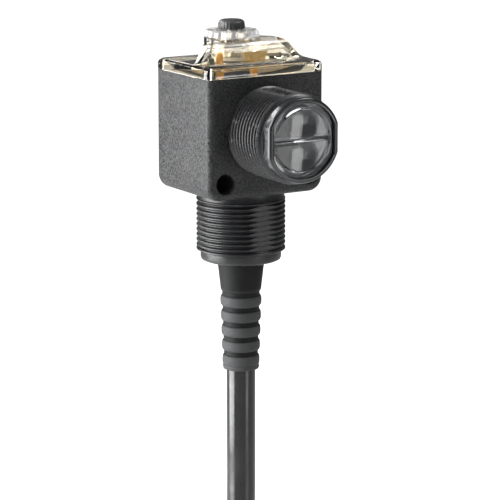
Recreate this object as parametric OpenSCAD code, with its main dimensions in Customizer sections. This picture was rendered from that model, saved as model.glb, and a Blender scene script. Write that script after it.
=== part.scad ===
// Right-angle photoelectric sensor with a threaded lens barrel, a threaded base
// barrel, a clear top cover over its two turned controls, and a moulded-in cable.
// Millimetres, +Z up. The origin is where the base barrel leaves the housing; the
// lens looks along -Y.

/* [Housing] */
// Width of the housing, left to right
body_w = 44.5; // [40:0.5:54]
// Front face to base axis
body_front = 16.8; // [16:0.1:20.5]
// Back face to base axis
body_back = 18.2; // [17:0.1:22]
// Height of the housing under the cover
body_h = 40.3; // [39.5:0.1:49]
// Radius of the upright edges
edge_r = 2.4; // [1:0.1:3]
// Radius of the two rounded bottom edges
bottom_r = 4.8; // [2:0.1:5.5]
// Thickness of the moulded walls
wall = 2.2; // [1.8:0.1:2.6]
// Spacing of the two mounting holes
hole_pitch = 31.8; // [31:0.1:36]
// Diameter of the mounting holes
hole_d = 6.5; // [4.5:0.1:7]
// Height of the mounting holes above the underside
hole_z = 5.7; // [5.5:0.1:7]

/* [Threads] */
// Outside diameter of both threads
thread_d = 30; // [29:0.1:36]
// Distance between two crests
pitch = 1.72; // [1.4:0.01:2]
// Depth of the thread
thread_depth = 0.95; // [0.5:0.01:1.05]
// Crests on each barrel
crests = 10; // [6:1:10]
// Bore of the lens barrel
lens_bore_d = 24.4; // [23:0.1:24.8]
// Bore of the base barrel
base_bore_d = 23.8; // [23:0.1:24.6]
// Height of the lens axis
lens_z = 22; // [21.6:0.1:22.6]

/* [Lens end] */
// Diameter of the round lens ring
ring_d = 28; // [26.6:0.1:29]
// Distance across the two flats of the lens ring
ring_flats = 26.3; // [25.6:0.1:26.4]
// Length of the lens ring past the barrel
ring_l = 4; // [3.6:0.1:5]
// Curve of the front of each lens half
lens_front_r = 60; // [50:1:90]

/* [Top cover] */
// Thickness of the cover's rim
cover_rim = 3.5; // [3.2:0.1:4.2]
// Thickness of the clear walls
cover_wall = 1.5; // [1.2:0.1:1.6]
// Height of the dome above the rim
dome_h = 6.8; // [6.4:0.1:8]
// How far the cover stands past the housing
overhang = 0.25; // [0:0.05:0.6]
// Radius of the turret that carries the controls
turret_r = 9.25; // [8.8:0.05:9.8]

/* [Controls] */
// Distance of the controls behind the base axis
ctrl_y = 5.9; // [4:0.1:6.4]
// Diameter of the selector ring
selector_d = 18.8; // [17:0.1:20]
// Height of the selector ring
selector_h = 2.2; // [1.8:0.1:3]
// Diameter of the sensitivity knob
knob_d = 9.1; // [8:0.1:10]
// Height of the sensitivity knob
knob_h = 3.1; // [2.6:0.1:4]
// Diameter of the control shaft
shaft_d = 3; // [2.4:0.1:3.2]

/* [Cable] */
// Outside diameter of the cable
cable_d = 9.9; // [8:0.1:10]
// Length of the strain relief below the barrel
relief_l = 38.1; // [34:0.1:46]
// Diameter of the strain relief where it leaves the barrel
relief_d = 16; // [14.6:0.1:17]
// Radius of the middle of the stored coil
coil_r = 56.15; // [54:0.05:68]

/* [Hidden] */
$fa = 4;
$fs = 0.4;

// Clearances: between bodies that move past each other, in a running fit, and
// between pieces that only sit in each other.
gap = 0.3;
run = 0.05;
seat = 0.1;
eps = 0.01;

black_plastic = [0.09, 0.09, 0.1];
clear_plastic = [0.9, 0.86, 0.78, 0.5];
lead_names = ["brown", "blue", "white", "black", "yellow"];
lead_colors = ["saddlebrown", "royalblue", "white", "dimgray", "gold"];

// Housing
thread_r = thread_d / 2;
root_r = thread_r - thread_depth;
body_d = body_front + body_back;
body_mid = (body_back - body_front) / 2;
cav_x = body_w / 2 - wall;
cav_front = body_front - wall;
cav_back = body_back - wall;
cav_z = 11.5;
floor_z = 2.5;
flat_y = root_r + 0.05;

// Base barrel, measured down from the underside
base_first = 3.71;
base_run = base_first + (crests - 1) * pitch;
base_neck = base_run + 1.25;
base_end = base_neck + 3.3;
base_rim_r = thread_r - 1.4;
collar_r = thread_r - 0.4;
base_floor = 2.5;

// Lens barrel, measured from the base axis towards the lens
lens_first = body_front + 1.15;
lens_run = lens_first + (crests - 1) * pitch;
lens_end = lens_run + 2;
ring_front = lens_end + ring_l;
lens_seat = lens_end + 0.9;
lens_pane = lens_seat + 0.4;
lens_face = ring_front - 1.3;
half_gap = 0.25;

// Cover
cover_z = body_h + seat;
rim_top = cover_z + cover_rim;
dome_top = rim_top + dome_h;
dome_front = 5.2;
dome_half = 12.6;
dome_foot = body_w / 2 - 0.25;
bushing_z = rim_top + 1.3;
gasket_w = 1;
gasket_d = 0.8;

// Controls, all on one upright axis
hub_r = 5.45;
hub_tip_r = 4.9;
rotor_r = turret_r - cover_wall - 0.35;
rotor_z = rim_top - 0.5;
rotor_h = 1.2;
selector_z = dome_top + gap;
selector_top = selector_z + selector_h;
knob_z = selector_top + gap;
knob_top = knob_z + knob_h;
shaft_r = shaft_d / 2;
shaft_top = knob_z + 2.1;
board_t = 1.6;
ctrl_board_z = body_h - 3.7;
ctrl_top = ctrl_board_z + board_t;
pot_r = 4.9;
pot_top = rotor_z - 0.4;
wiper_z = ctrl_top + 1.2;
wiper_h = 0.9;

// Lamps and their light guide, just behind the dome's front wall
led_r = 1.2;
led_y = 2.1 - dome_front + cover_wall;
guide_x = 3.4;
guide_top = dome_top - cover_wall - 2.6;

// Optics
holder_front = lens_end - 2.6;
holder_back = body_front - 4;
optics_y = holder_back - 0.2;
eye_dz = 5.9;
eye_r = 2.5;
link_d = 2.4;

// Power board and what stands on it
power_y = 8;
relay_size = [15.5, 9, 12];
relay_at = [-16, cav_z + 7];
can_r = 4.5;
can_l = 10;
film_size = [14, 5.4, 5.4];
film_at = [2, cav_z + 17.6];
regulator_size = [10, 4, 9];
terminal_size = [20, 5.6, 5];
terminal_z = cav_z + 0.6;
rib_x = cav_x - 1.85;
rib_w = 1.6;
rib_front_y = -6;

// Cable and strain relief, below the underside
cable_r = cable_d / 2;
relief_r = relief_d / 2;
relief_neck = relief_r - 0.85;
relief_end = base_end + relief_l;
relief_grooves = 5;
relief_waist = 10.3;
root_end = 36;
root_top = 14;

// The stored coil: two layers of two and a half turns, the turns side by side
coil_z = 228;
coil_step = cable_d + 0.2;
coil_rows = 2.5;
coil_side = coil_rows * coil_step / 2;
coil_out = coil_r + coil_step / 2;
coil_in = coil_r - coil_step / 2;
coil_half_y = coil_side + cable_r;
coil_half_r = coil_step / 2 + cable_r;

// The cable hangs straight, then swings left into the stored coil, which hangs
// below it. The points are its middle line from inside the strain relief.
cable_route = [
    [0, 0, -root_end], [0, 0, -62], [0, 0, -76], [0, 0, -90], [0, 0, -104],
    [-0.6, -0.6, -116], [-3, -3.2, -128], [-7.5, -7.2, -139.5], [-13.8, -11, -150],
    [-21.3, -13.6, -160], [-29.5, -14.8, -170], [-38.2, -14.8, -180],
    [12.9 - coil_out, -14.3, -191], [5.1 - coil_out, -13.7, -203.5],
    [1.15 - coil_out, -0.5 - coil_side, -216], [-coil_out, -coil_side, -coil_z],
];

// The free end leaves the coil in front of it, and five stripped leads hang out.
tail_route = [
    [-coil_in, -coil_side, -coil_z], [0.6 - coil_in, -12.9, -236],
    [2.4 - coil_in, -14, -243.9], [5.1 - coil_in, -16.3, -251.1],
    [8.3 - coil_in, -19.6, -258], [11.6 - coil_in, -23.5, -264.4],
];
tail_end = tail_route[len(tail_route) - 1];
tail_dir = unit(tail_end - tail_route[len(tail_route) - 2]);
lead_r = 1;
lead_l = 25;
tip_l = 5;
lead_ring = 2.7;
splay = 1.1;

module upright_box(w, front, back, z0, z1, r) {
    // A box with rounded upright edges.
    for (x = [-1, 1])
        for (y = [r - front, back - r])
            translate([x * (w / 2 - r), y, z0])
                cylinder(r = r, h = z1 - z0);
    translate([-w / 2, r - front, z0])
        cube([w, front + back - 2 * r, z1 - z0]);
    translate([r - w / 2, -front, z0])
        cube([w - 2 * r, front + back, z1 - z0]);
}

module box(x0, x1, y0, y1, z0, z1) {
    translate([x0, y0, z0])
        cube([x1 - x0, y1 - y0, z1 - z0]);
}

module rod(r, z0, z1) {
    translate([0, 0, z0])
        cylinder(r = r, h = z1 - z0);
}

module tube(r_out, r_in, z0, z1) {
    difference() {
        rod(r_out, z0, z1);
        rod(r_in, z0 - 1, z1 + 1);
    }
}

module facing_lens() {
    // Turns a shape drawn along +Z to look along -Y on the lens axis.
    translate([0, 0, lens_z])
        rotate([90, 0, 0])
            children();
}

module facing_down() {
    rotate([180, 0, 0])
        children();
}

module on_controls() {
    translate([0, ctrl_y, 0])
        children();
}

module double_d(r, half, z0, z1) {
    // A round with a flat on each side.
    intersection() {
        rod(r, z0, z1);
        box(-half, half, -r - 1, r + 1, z0 - 1, z1 + 1);
    }
}

// Outline of one crest: up the flank, along the narrow land, down again.
function crest(at) = let (land = pitch / 8, foot = land + thread_depth * 1.12)
    [[root_r, at - foot / 2 - land / 4], [thread_r, at - land / 2],
     [thread_r, at + land / 2], [root_r, at + foot / 2 + land / 4]];

function crest_points(first) = [
    for (i = [0 : crests - 1])
        for (p = crest(first + i * pitch))
            p
];

module thread_flats(z0, z1, across) {
    // The parting line leaves a flat on two opposite sides.
    reach = thread_r + 2;
    for (s = [-1, 1])
        if (across == "x")
            translate([s > 0 ? flat_y : -reach, -reach, z0])
                cube([reach - flat_y, 2 * reach, z1 - z0]);
        else
            translate([-reach, s > 0 ? flat_y : -reach, z0])
                cube([2 * reach, reach - flat_y, z1 - z0]);
}

module base_barrel() {
    facing_down()
        rotate_extrude()
            polygon(concat(
                [[0, -floor_z], [collar_r, -floor_z],
                 [collar_r, base_first - 1.15]],
                crest_points(base_first),
                [[root_r, base_neck - 0.4], [base_rim_r, base_neck],
                 [base_rim_r, base_end - 0.9], [base_rim_r - 0.25, base_end - 0.3],
                 [base_rim_r - 0.9, base_end], [0, base_end]]));
}

module lens_barrel() {
    facing_lens()
        rotate_extrude()
            polygon(concat(
                [[0, body_front - wall / 2], [root_r, body_front - wall / 2]],
                crest_points(lens_first),
                [[root_r, lens_end - 0.3], [root_r - 0.3, lens_end],
                 [0, lens_end]]));
}

module housing_blank() {
    intersection() {
        upright_box(body_w, body_front, body_back, 0, body_h, edge_r);
        translate([0, body_back + 1, 0])
            rotate([90, 0, 0])
                linear_extrude(body_d + 2)
                    union() {
                        translate([-body_w / 2, bottom_r])
                            square([body_w, body_h]);
                        translate([bottom_r - body_w / 2, 0])
                            square([body_w - 2 * bottom_r, body_h]);
                        for (s = [-1, 1])
                            translate([s * (body_w / 2 - bottom_r), bottom_r])
                                circle(r = bottom_r);
                    }
    }
}

module mounting_holes() {
    for (s = [-1, 1])
        translate([s * hole_pitch / 2, body_back + 1, hole_z])
            rotate([90, 0, 0])
                cylinder(d = hole_d, h = body_d + 2);
}

module gasket_loop(z0, z1, ease) {
    inset = (wall - gasket_w) / 2 - ease;
    width = gasket_w + 2 * ease;
    difference() {
        upright_box(body_w - 2 * inset, body_front - inset, body_back - inset,
            z0, z1, edge_r - inset);
        upright_box(body_w - 2 * inset - 2 * width, body_front - inset - width,
            body_back - inset - width, z0 - 1, z1 + 1, max(edge_r - inset - width, 0.3));
    }
}

module board_ribs() {
    for (s = [-1, 1])
        for (y = [rib_front_y, power_y + board_t])
            box(min(s * rib_x, s * (cav_x + 0.5)), max(s * rib_x, s * (cav_x + 0.5)),
                y, y + rib_w, cav_z - 0.5, ctrl_board_z);
}

module housing() {
    color(black_plastic) {
        difference() {
            union() {
                housing_blank();
                difference() {
                    base_barrel();
                    thread_flats(-base_run - 1, -base_first + 1, "y");
                }
                difference() {
                    lens_barrel();
                    facing_lens()
                        thread_flats(lens_first - 1, lens_run + 1, "y");
                }
            }
            box(-cav_x, cav_x, -cav_front, cav_back, cav_z, body_h + 1);
            box(-base_bore_d / 2, base_bore_d / 2, -cav_front, cav_back, floor_z, cav_z + 1);
            rod(base_bore_d / 2, base_floor - base_end, floor_z + 1);
            rod(relief_neck + run, -base_end - 1, 0);
            facing_lens()
                rod(lens_bore_d / 2, cav_front - 1, lens_end + 1);
            mounting_holes();
            gasket_loop(body_h - gasket_d, body_h + 1, 0);
        }
        board_ribs();
    }
}

// Height of the dome's side, a smooth S from the roof to the rim, as points of
// one half from the middle outwards.
function dome_side(inset) = [
    for (i = [0 : 12])
        let (t = i / 12)
        [dome_half - inset + (dome_foot - dome_half) * t,
         rim_top - inset + dome_h * (1 + cos(180 * t)) / 2]
];

// Plan of the dome: its wide front narrows back onto the turret.
function dome_plan(inset) = [
    for (i = [0 : 8])
        let (s = i / 8, r = turret_r)
        [r + (dome_foot - r) * pow(1 - s, 1.6) - inset,
         -dome_front + (ctrl_y + dome_front) * s + inset * (1 - s)]
];

function mirrored(half) = concat(half, [
    for (i = [len(half) - 1 : -1 : 0])
        [-half[i][0], half[i][1]]
]);

module dome(inset, low) {
    top = dome_top - inset;
    intersection() {
        translate([0, 30, 0])
            rotate([90, 0, 0])
                linear_extrude(60)
                    polygon(mirrored(concat(dome_side(inset),
                        [[dome_foot - inset, low - 1]])));
        translate([0, 0, low])
            linear_extrude(top - low)
                polygon(mirrored(dome_plan(inset)));
        // The front wall stands nearly upright, and its top edge is eased back.
        translate([-30, 0, 0])
            rotate([90, 0, 90])
                linear_extrude(60)
                    polygon([
                        [inset - dome_front, low - 1], [30, low - 1], [30, top],
                        [2.6 + inset - dome_front, top],
                        [1.5 + inset - dome_front, top - 0.4],
                        [0.5 + inset - dome_front, top - 1.4],
                        [inset - dome_front, top - 2.6],
                    ]);
    }
}

module cover_rim_plate() {
    // Rim with a softened top edge.
    hull()
        for (step = [[0, 1.5], [0.35, 0.55], [1.25, 0]])
            upright_box(body_w + 2 * overhang - 2 * step[0],
                body_front + overhang - step[0], body_back + overhang - step[0],
                cover_z, rim_top - step[1], edge_r + 0.7 - step[0] / 2, $fn = 32);
}

module top_cover() {
    color(clear_plastic)
        difference() {
            union() {
                cover_rim_plate();
                dome(0, rim_top - 1);
                on_controls()
                    rod(turret_r, rim_top - 1, dome_top);
            }
            // Hollow under the rim and inside the dome, around the solid turret
            upright_box(2 * (cav_x - 0.6), cav_front - 0.4, cav_back - 0.4,
                cover_z - 1, rim_top - cover_wall, 1);
            difference() {
                dome(cover_wall, rim_top - cover_wall - 0.5);
                on_controls()
                    rod(turret_r - cover_wall, bushing_z, dome_top + 1);
            }
            on_controls() {
                rod(turret_r - cover_wall, rim_top - cover_wall - 0.5, bushing_z);
                rod(hub_r + run, bushing_z - 1, dome_top + 1);
            }
        }
}

module cover_gasket() {
    color("dimgray")
        gasket_loop(body_h - gasket_d, cover_z, 0);
}

module lens_ring() {
    bore_r = lens_bore_d / 2;
    half = ring_flats / 2;
    rim = 1.5;
    color(black_plastic)
        difference() {
            facing_lens() {
                hull() {
                    double_d(ring_d / 2, half, lens_end, ring_front - 0.9, $fn = 96);
                    double_d(ring_d / 2 - 0.9, half - 0.9, ring_front - 1, ring_front,
                        $fn = 96);
                }
                rod(bore_r - seat, lens_end - 2.4, lens_end + 0.5);
            }
            facing_lens() {
                double_d(ring_d / 2 - rim, half - rim - 0.2, lens_seat, ring_front + 1);
                double_d(bore_r - 1.2, half - rim - 1, lens_end - 3, ring_front);
            }
        }
}

module lens_seal() {
    half = ring_flats / 2 - 1.8;
    color("black")
        facing_lens()
            difference() {
                double_d(ring_d / 2 - 1.6, half, lens_seat, lens_pane);
                double_d(lens_bore_d / 2 - 1.2, half - 0.8, lens_seat - 1, lens_pane + 1);
            }
}

module lens_half(side) {
    // One bulged half of the lens, cut square where the two halves meet.
    out_r = ring_d / 2 - 2.1;
    half = ring_flats / 2 - 2.4;
    peak = ring_front - 0.1;
    intersection() {
        double_d(out_r, half, lens_pane, peak + 1);
        box(-half, half, side > 0 ? half_gap : -out_r, side > 0 ? out_r : -half_gap,
            lens_pane, peak + 1);
        translate([0, side * eye_dz, peak - lens_front_r])
            sphere(r = lens_front_r, $fn = 180);
    }
}

module lens() {
    half = ring_flats / 2 - 1.9;
    rear_r = 12;
    rear_rise = 1.9;
    color([0.8, 0.85, 0.9, 0.5])
        facing_lens() {
            double_d(ring_d / 2 - 1.7, half, lens_pane, lens_face);
            for (side = [-1, 1])
                lens_half(side);
            for (side = [-1, 1])
                intersection() {
                    translate([0, side * (eye_dz - 0.6), lens_pane - rear_rise + rear_r])
                        sphere(r = rear_r);
                    box(-12, 12, side > 0 ? 0.3 : -12, side > 0 ? 12 : -0.3,
                        lens_pane - rear_rise - 1, lens_pane + eps);
                    rod(lens_bore_d / 2 - 1.6, lens_pane - 4, lens_pane + 1);
                }
        }
}

module selector_ring() {
    flutes = 20;
    flute_r = 0.7;
    rim_r = selector_d / 2;
    color(clear_plastic)
        on_controls()
            difference() {
                union() {
                    translate([0, 0, selector_z])
                        cylinder(r1 = rim_r, r2 = rim_r - 0.45, h = selector_h - 0.5);
                    translate([0, 0, selector_top - 0.5])
                        cylinder(r1 = rim_r - 0.45, r2 = rim_r - 0.95, h = 0.5);
                    rod(hub_r, rotor_z + rotor_h, selector_z + 0.5);
                    rod(hub_tip_r, rotor_z, rotor_z + rotor_h + 0.5);
                }
                rod(shaft_r + 0.4, rotor_z - 1, selector_top + 1);
                rod(shaft_r + 1.15, selector_top - 1.3, selector_top + 1);
                // Groove for the seal in the hub
                tube(hub_r + 1, hub_r - 0.9, dome_top - 2.6, dome_top - 1.6);
                for (i = [0 : flutes - 1])
                    rotate([0, 0, (i + 0.5) * 360 / flutes])
                        translate([rim_r + 0.25, 0, selector_z - 1])
                            cylinder(r = flute_r, h = selector_h + 2);
            }
}

module selector_seal() {
    ring_r = 0.45;
    color("black")
        on_controls()
            translate([0, 0, dome_top - 2.1])
                rotate_extrude()
                    translate([hub_r - ring_r, 0])
                        circle(r = ring_r, $fn = 24);
}

module selector_rotor() {
    color("white")
        on_controls()
            difference() {
                tube(rotor_r, hub_tip_r, rotor_z, rotor_z + rotor_h);
                translate([(rotor_r + hub_tip_r) / 2, 0, rotor_z - 1])
                    cylinder(r = 0.8, h = 2.1);
            }
}

module selector_magnet() {
    color("silver")
        on_controls()
            translate([(rotor_r + hub_tip_r) / 2, 0, rotor_z + 0.1])
                cylinder(r = 0.8, h = 1);
}

module sensitivity_knob() {
    grips = 24;
    r = knob_d / 2;
    color([0.05, 0.05, 0.06])
        on_controls()
            difference() {
                union() {
                    translate([0, 0, knob_z])
                        cylinder(r1 = r, r2 = r - 0.2, h = knob_h - 0.5);
                    translate([0, 0, knob_top - 0.5])
                        cylinder(r1 = r - 0.2, r2 = r - 0.75, h = 0.5);
                }
                rod(shaft_r, knob_z - 1, shaft_top);
                for (i = [0 : grips - 1])
                    rotate([0, 0, i * 360 / grips])
                        translate([r + 0.12, 0, knob_z - 1])
                            cylinder(r = 0.3, h = knob_h + 2);
                // Pointer groove on the top
                box(-0.4, 0.4, -r - 1, 0.6, knob_top - 0.5, knob_top + 1);
            }
}

module knob_shaft() {
    color("silver")
        on_controls()
            rod(shaft_r, wiper_z, shaft_top);
}

module knob_seal() {
    ring_r = 0.5;
    color("black")
        on_controls()
            translate([0, 0, selector_top - 0.7])
                rotate_extrude()
                    translate([shaft_r + ring_r, 0])
                        circle(r = ring_r, $fn = 24);
}

module pot_wiper() {
    color("goldenrod")
        on_controls()
            tube(pot_r - 1.5, shaft_r, wiper_z, wiper_z + wiper_h);
}

module pot_body() {
    color("steelblue")
        on_controls()
            difference() {
                rod(pot_r, ctrl_top, pot_top);
                rod(pot_r - 1.1, wiper_z - gap, wiper_z + wiper_h + gap);
                rod(shaft_r + run, wiper_z, pot_top + 1);
            }
}

module selector_switch() {
    color([0.15, 0.15, 0.15])
        on_controls()
            box(pot_r + 0.2, rotor_r - 0.4, -2.4, 2.4, ctrl_top, rotor_z - gap);
}

module control_board() {
    color("darkgreen")
        box(0.9 - cav_x, cav_x - 0.9, 0.8 - cav_front, cav_back - 0.8,
            ctrl_board_z, ctrl_top);
}

module small_led(x, y, top, r) {
    // Round lamp with a collar, standing on the board.
    translate([x, y, 0]) {
        rod(r + 0.15, ctrl_top, ctrl_top + 1.6);
        rod(r, ctrl_top, top - r);
        translate([0, 0, top - r])
            sphere(r = r);
    }
}

module power_led() {
    color("olivedrab")
        small_led(-12.9, led_y, rim_top + 2, led_r);
}

module margin_led() {
    color("orange")
        small_led(-9.6, led_y, rim_top + 3.8, led_r);
}

module output_led() {
    color("orange")
        small_led(guide_x, led_y, rim_top - 1.2, led_r);
}

module light_guide() {
    // Amber bar that carries the output lamp's light up into the dome.
    half = 4.7;
    foot = 3.2;
    thick = 1.2;
    color("goldenrod")
        translate([guide_x, cover_wall - dome_front + gap + thick, 0])
            rotate([90, 0, 0])
                linear_extrude(thick)
                    polygon([[-foot, rim_top - 0.9], [foot, rim_top - 0.9],
                        [half, guide_top], [-half, guide_top]]);
}

module optics_holder() {
    // Black tube with a wall between the sending and the receiving half.
    outer = lens_bore_d / 2 - 0.2;
    inner = outer - 1.4;
    back = 2.2;
    color("black")
        facing_lens()
            difference() {
                rod(outer, holder_back, holder_front);
                difference() {
                    rod(inner, holder_back + back, holder_front + 1);
                    box(-inner - 1, inner + 1, -0.7, 0.7, holder_back, holder_front + 2);
                }
                for (s = [-1, 1])
                    translate([0, s * eye_dz, 0])
                        rod(eye_r + 0.2, holder_back - 1, holder_back + back + 1);
            }
}

module emitter_led() {
    color("lightblue")
        facing_lens()
            translate([0, eye_dz, 0]) {
                rod(eye_r, optics_y, optics_y + 2 * eye_r);
                translate([0, 0, optics_y + 2 * eye_r])
                    sphere(r = eye_r);
            }
}

module receiver_diode() {
    color([0.1, 0.05, 0.12])
        facing_lens()
            translate([0, -eye_dz, 0]) {
                rod(eye_r, optics_y, optics_y + 4.2);
                translate([0, 0, optics_y + 2.6])
                    sphere(r = eye_r);
            }
}

module optics_board() {
    color("darkgreen")
        box(-11.5, 11.5, -optics_y, board_t - optics_y, lens_z - 12.4, lens_z + 12.2);
}

module optics_link() {
    y0 = board_t - optics_y;
    color("black")
        box(-5, 5, y0, y0 + link_d, lens_z + 8.6, ctrl_board_z);
}

module power_board() {
    color("darkgreen")
        box(1.7 - cav_x, cav_x - 1.7, power_y, power_y + board_t, terminal_z,
            ctrl_board_z - 0.5);
}

module relay() {
    color([0.1, 0.25, 0.6])
        translate([relay_at[0], power_y - relay_size[1], relay_at[1]])
            cube(relay_size);
}

module smoothing_capacitor() {
    color("midnightblue")
        translate([8, power_y, cav_z + 12.4])
            rotate([90, 0, 0])
                cylinder(r = can_r, h = can_l);
}

module film_capacitor() {
    color("gold")
        translate([film_at[0], power_y - film_size[1], film_at[1]])
            cube(film_size);
}

module regulator() {
    color("dimgray")
        translate([-regulator_size[0] / 2, power_y + board_t, cav_z + 5])
            cube(regulator_size);
}

module terminal_block() {
    color("darkslategray")
        difference() {
            translate([-terminal_size[0] / 2, power_y - terminal_size[1], terminal_z])
                cube(terminal_size);
            for (i = [0 : 4])
                translate([lead_x(i), lead_y, cav_z])
                    cylinder(r = lead_r, h = lead_in);
        }
}

module board_link() {
    color("black")
        box(-16, -2, power_y - 2.5, power_y, cav_z + 20, ctrl_board_z);
}

lead_y = power_y - 2.9;
lead_in = 4;
terminal_of = [4, 2, 0, 1, 3];
function lead_x(i) = 3.8 * (i - 2);

// Points where the five leads leave the jacket, on a small ring.
function lead_at(i) = [lead_ring * cos(72 * i + 18), lead_ring * sin(72 * i + 18)];

// Directions, rings and skin of a tube swept along points.
function unit(v) = v / norm(v);
function along(p, i) = unit(p[min(i + 1, len(p) - 1)] - p[max(i - 1, 0)]);
function side_of(d) = unit(cross(d, abs(d[1]) > 0.9 ? [1, 0, 0] : [0, 1, 0]));
function ring_at(p, i, r, n) =
    let (d = along(p, i), u = side_of(d), v = cross(d, u))
    [for (k = [0 : n - 1]) p[i] + r * (cos(360 * k / n) * u + sin(360 * k / n) * v)];

module swept(p, r, n) {
    rings = len(p);
    points = [for (i = [0 : rings - 1]) each ring_at(p, i, r, n)];
    skin = [
        for (i = [0 : rings - 2])
            for (k = [0 : n - 1])
                [i * n + k, (i + 1) * n + k, (i + 1) * n + (k + 1) % n, i * n + (k + 1) % n]
    ];
    caps = [
        [for (k = [0 : n - 1]) k],
        [for (k = [n - 1 : -1 : 0]) (rings - 1) * n + k],
    ];
    polyhedron(points = points, faces = concat(skin, caps), convexity = 6);
}

module inner_lead(i) {
    at = lead_at(i);
    x = lead_x(terminal_of[i]);
    color(lead_colors[i])
        swept([
            [at[0], at[1], -root_top], [at[0], at[1], -root_top + 3],
            [x * 0.6, (at[1] + lead_y) / 2, -3], [x, lead_y, 4],
            [x, lead_y, terminal_z], [x, lead_y, cav_z + lead_in],
        ], lead_r - run, 8);
}

module inner_lead_brown() {
    inner_lead(0);
}

module inner_lead_blue() {
    inner_lead(1);
}

module inner_lead_white() {
    inner_lead(2);
}

module inner_lead_black() {
    inner_lead(3);
}

module inner_lead_yellow() {
    inner_lead(4);
}

module relief_retainer() {
    top = base_floor + 4.2 - base_end;
    color([0.2, 0.2, 0.22])
        tube(base_bore_d / 2 - seat, cable_r + seat, base_floor + 2 - base_end, top);
}

// Radius of the strain relief at a depth below the barrel: a straight waist, then
// a long taper.
function relief_at(d) = d < relief_waist
    ? relief_r - 0.8 * d / relief_waist
    : relief_r - 0.8 - 1.15 * (d - relief_waist) / (relief_l - relief_waist);

module strain_relief() {
    head_r = relief_r + 1.6;
    groove_pitch = (relief_l - relief_waist - 2) / relief_grooves;
    groove_w = 1.6;
    groove_d = 0.75;
    grooves = [
        for (i = [0 : relief_grooves - 1])
            let (d = relief_waist + 0.6 + i * groove_pitch)
            each [
                [relief_at(d), base_end + d],
                [relief_at(d) - groove_d, base_end + d + 0.45],
                [relief_at(d) - groove_d, base_end + d + groove_w],
                [relief_at(d + groove_w), base_end + d + groove_w + 0.45],
            ]
    ];
    color([0.13, 0.13, 0.14])
        facing_down()
            rotate_extrude()
                polygon(concat(
                    [[cable_r, base_end - base_floor - 2], [head_r, base_end - base_floor - 2],
                     [head_r, base_end - base_floor], [relief_neck, base_end - base_floor],
                     [relief_neck, base_end], [relief_r, base_end],
                     [relief_at(relief_waist), base_end + relief_waist]],
                    grooves,
                    [[relief_at(relief_l), relief_end - 0.6],
                     [relief_at(relief_l) - 0.4, relief_end], [cable_r, relief_end]]));
}

module cable_root() {
    color("black")
        rod(cable_r, -root_end, -root_top);
}

module cable() {
    color("black")
        swept(cable_route, cable_r, 12);
}

module cable_coil() {
    ease = cable_r - 0.75;
    color("black") {
        translate([0, 0, -coil_z])
            rotate([90, 0, 0])
                rotate_extrude()
                    polygon([
                        [coil_r - coil_half_r, ease - coil_half_y],
                        [coil_r - coil_half_r + ease, -coil_half_y],
                        [coil_r + coil_half_r - ease, -coil_half_y],
                        [coil_r + coil_half_r, ease - coil_half_y],
                        [coil_r + coil_half_r, coil_half_y - ease],
                        [coil_r + coil_half_r - ease, coil_half_y],
                        [coil_r - coil_half_r + ease, coil_half_y],
                        [coil_r - coil_half_r, coil_half_y - ease],
                    ]);
        swept(tail_route, cable_r, 12);
    }
}

module coil_ties() {
    thick = 1.1;
    wide = 4.8;
    loose = 0.25;
    hr = coil_half_r + loose;
    hy = coil_half_y + loose;
    color("dimgray")
        translate([0, 0, -coil_z])
            for (turn = [30, 250])
                rotate([0, -turn, 0])
                    translate([coil_r, 0, -wide / 2])
                        difference() {
                            upright_box(2 * (hr + thick), hy + thick, hy + thick,
                                0, wide, 4);
                            upright_box(2 * hr, hy, hy, -1, wide + 1, 3);
                        }
}

// Each free lead leaves the jacket's end square, then bends to hang straight.
function lead_side(i) =
    let (u = side_of(tail_dir), v = cross(tail_dir, u))
    lead_ring * (cos(72 * i + 18) * u + sin(72 * i + 18) * v);
function lead_point(i, t) = tail_end + lead_side(i) * (1 + splay * t * t)
    + lead_l * ((t - t * t / 2) * tail_dir + [0, 0, -t * t / 2]);

module free_lead(i) {
    color(lead_colors[i])
        swept(concat([lead_point(i, 0), lead_point(i, 0) + 0.5 * tail_dir],
            [for (k = [1 : 5]) lead_point(i, k / 5)]), lead_r, 8);
}

module lead_brown() {
    free_lead(0);
}

module lead_blue() {
    free_lead(1);
}

module lead_white() {
    free_lead(2);
}

module lead_black() {
    free_lead(3);
}

module lead_yellow() {
    free_lead(4);
}

module lead_tips() {
    color("silver")
        for (i = [0 : 4])
            translate(lead_point(i, 1) - [0, 0, tip_l])
                cylinder(r = lead_r / 2, h = tip_l + 0.3);
}

housing();
top_cover();
cover_gasket();
lens_ring();
lens();
lens_seal();
selector_ring();
selector_rotor();
selector_magnet();
selector_seal();
sensitivity_knob();
knob_shaft();
knob_seal();
pot_wiper();
pot_body();
selector_switch();
control_board();
power_led();
margin_led();
output_led();
light_guide();
optics_holder();
emitter_led();
receiver_diode();
optics_board();
optics_link();
power_board();
relay();
smoothing_capacitor();
film_capacitor();
regulator();
terminal_block();
board_link();
inner_lead_brown();
inner_lead_blue();
inner_lead_white();
inner_lead_black();
inner_lead_yellow();
relief_retainer();
strain_relief();
cable_root();
cable();
cable_coil();
coil_ties();
lead_brown();
lead_blue();
lead_white();
lead_black();
lead_yellow();
lead_tips();
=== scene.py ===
import math

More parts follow.
